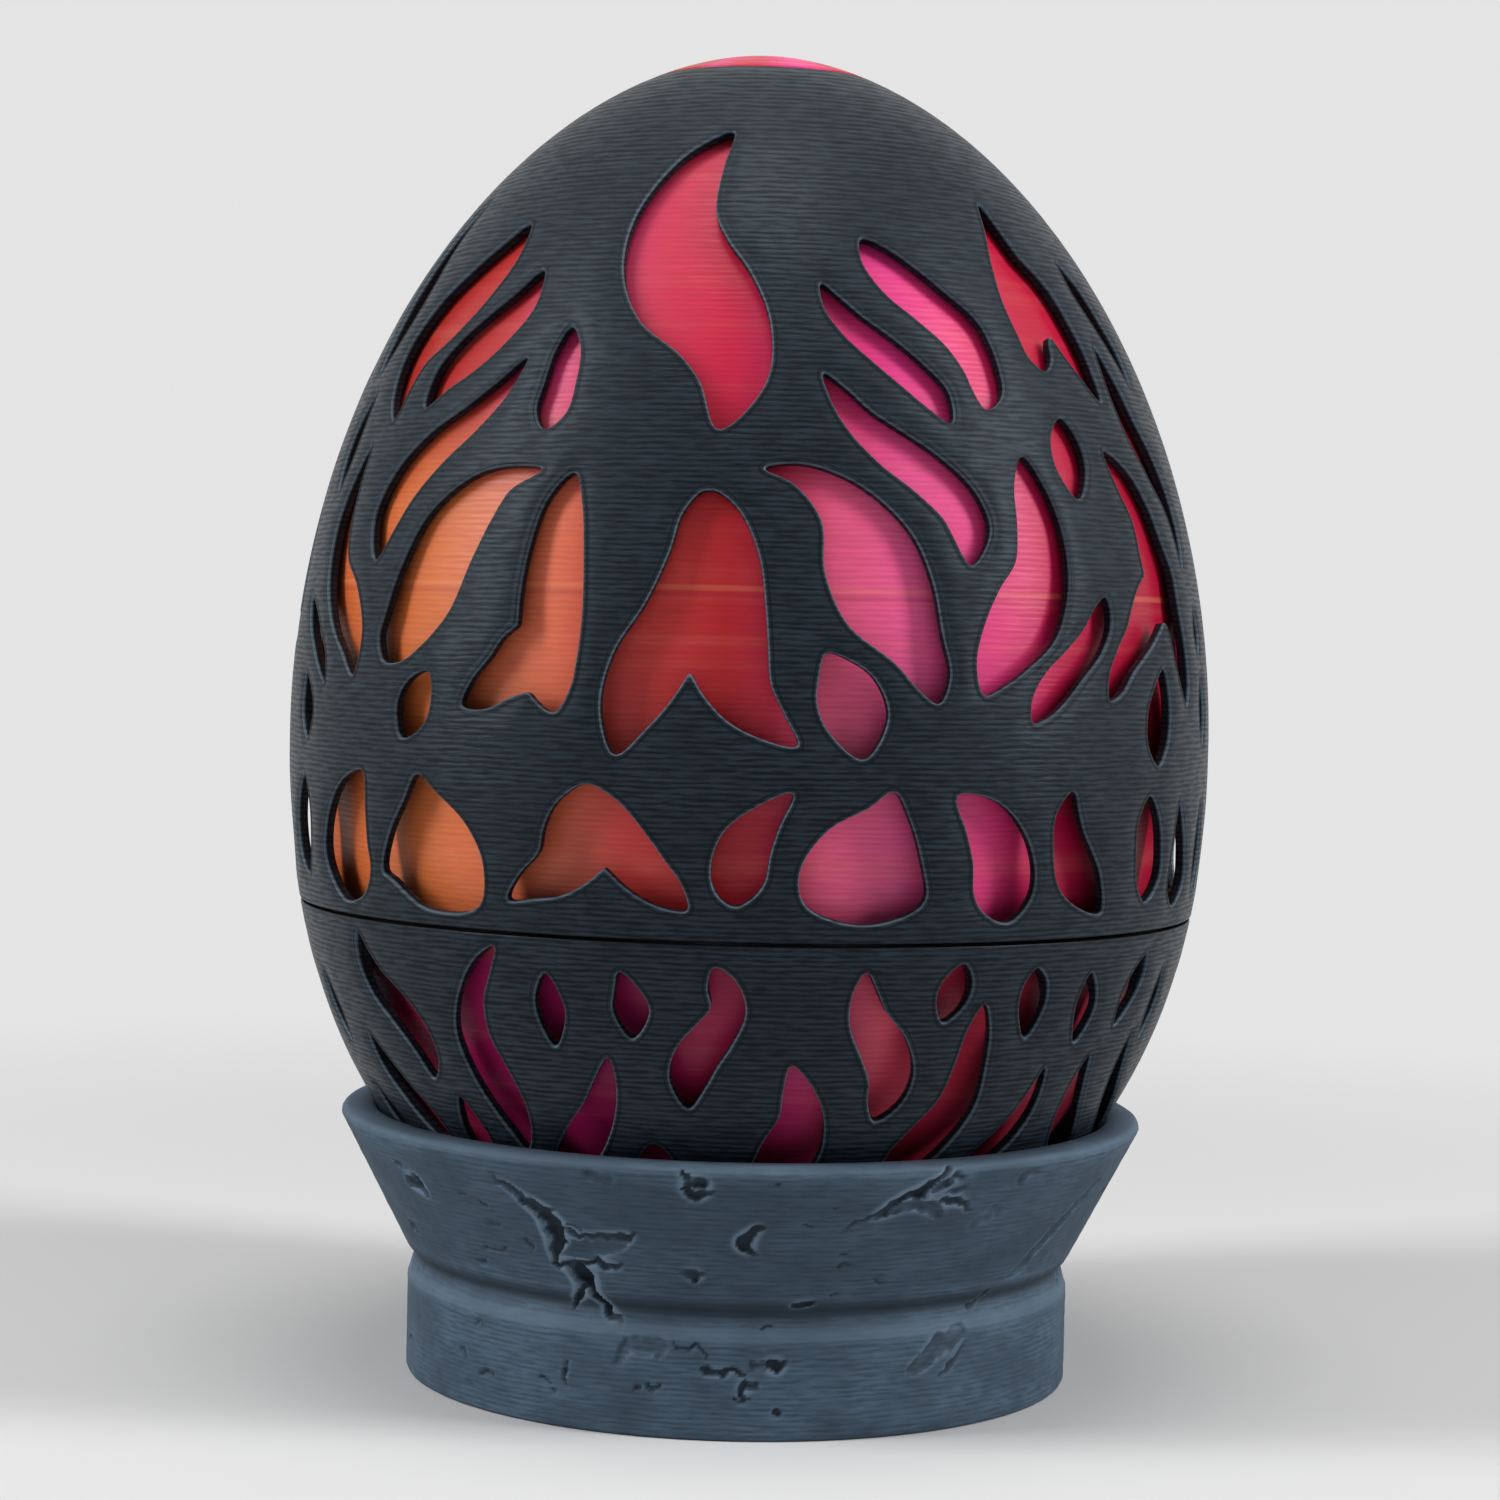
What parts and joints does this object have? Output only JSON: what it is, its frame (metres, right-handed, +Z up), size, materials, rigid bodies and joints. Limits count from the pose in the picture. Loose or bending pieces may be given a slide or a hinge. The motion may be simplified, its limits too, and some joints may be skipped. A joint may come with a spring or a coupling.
{
  "type": "dragon egg ornament",
  "caption": "Decorative egg with a pierced flame-pattern shell over a glossy inner egg that opens, standing upright in a round stone-look stand.",
  "frame": {"origin": "centre of the stand's flat underside, on the table", "axes": "+Z up along the egg's axis, -Y towards the viewer of the front, +X to the viewer's right"},
  "size_m": [0.1, 0.1, 0.1433],
  "materials": {
    "shell": "satin blue-black printed plastic with fine level layer lines",
    "inner_egg": "silky printed plastic that turns from orange over red to magenta round the egg",
    "stand": "matte slate blue-grey with cracks, pits and chips like stone"
  },
  "bodies": {
    "stand": {"stand": "stand"},
    "lower_shell": {"lower_shell": "shell"},
    "inner_egg_lower": {"inner_egg_lower": "inner_egg"},
    "inner_egg_upper": {"inner_egg_upper": "inner_egg"},
    "upper_shell": {"upper_shell": "shell"}
  },
  "joints": [
    {"name": "egg_lift", "type": "slide", "parent": "stand", "child": "lower_shell", "axis": [0, 0, 1], "range_m": [0, 0.04]},
    {"name": "inner_egg_lift", "type": "slide", "parent": "lower_shell", "child": "inner_egg_lower", "axis": [0, 0, 1], "range_m": [0, 0.05]},
    {"name": "inner_lid_lift", "type": "slide", "parent": "inner_egg_lower", "child": "inner_egg_upper", "axis": [0, 0, 1], "range_m": [0, 0.03]},
    {"name": "upper_shell_lift", "type": "slide", "parent": "inner_egg_upper", "child": "upper_shell", "axis": [0, 0, 1], "range_m": [0, 0.1]}
  ]
}
